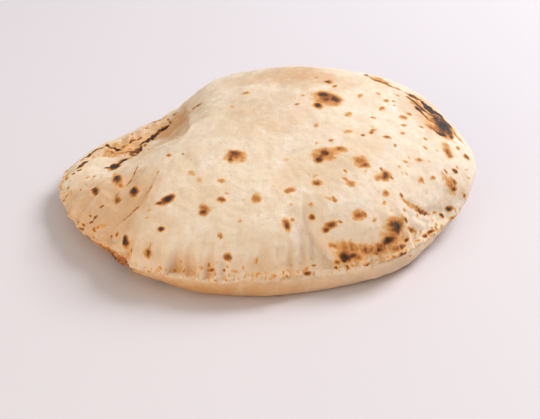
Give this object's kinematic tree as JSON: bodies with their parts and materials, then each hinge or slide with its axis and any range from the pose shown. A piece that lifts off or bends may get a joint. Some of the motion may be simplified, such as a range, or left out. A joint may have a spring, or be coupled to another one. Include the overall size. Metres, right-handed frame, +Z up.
{
  "type": "roti",
  "caption": "Puffed round flatbread: a broad dome with a fallen flap at the back left, folds running up from a pinched seam, scorch marks, and a flat underside.",
  "frame": {"origin": "middle of the bounding box, on the plane that the bread rests on", "axes": "+Z up through the dome, +X to the right and +Y to the back with the shown front facing -Y"},
  "size_m": [0.197, 0.183, 0.0568],
  "materials": {
    "baked_bread": "matt baked flour skin, browned and scorched in spots"
  },
  "bodies": {
    "root": {"roti": "baked_bread"}
  },
  "joints": []
}
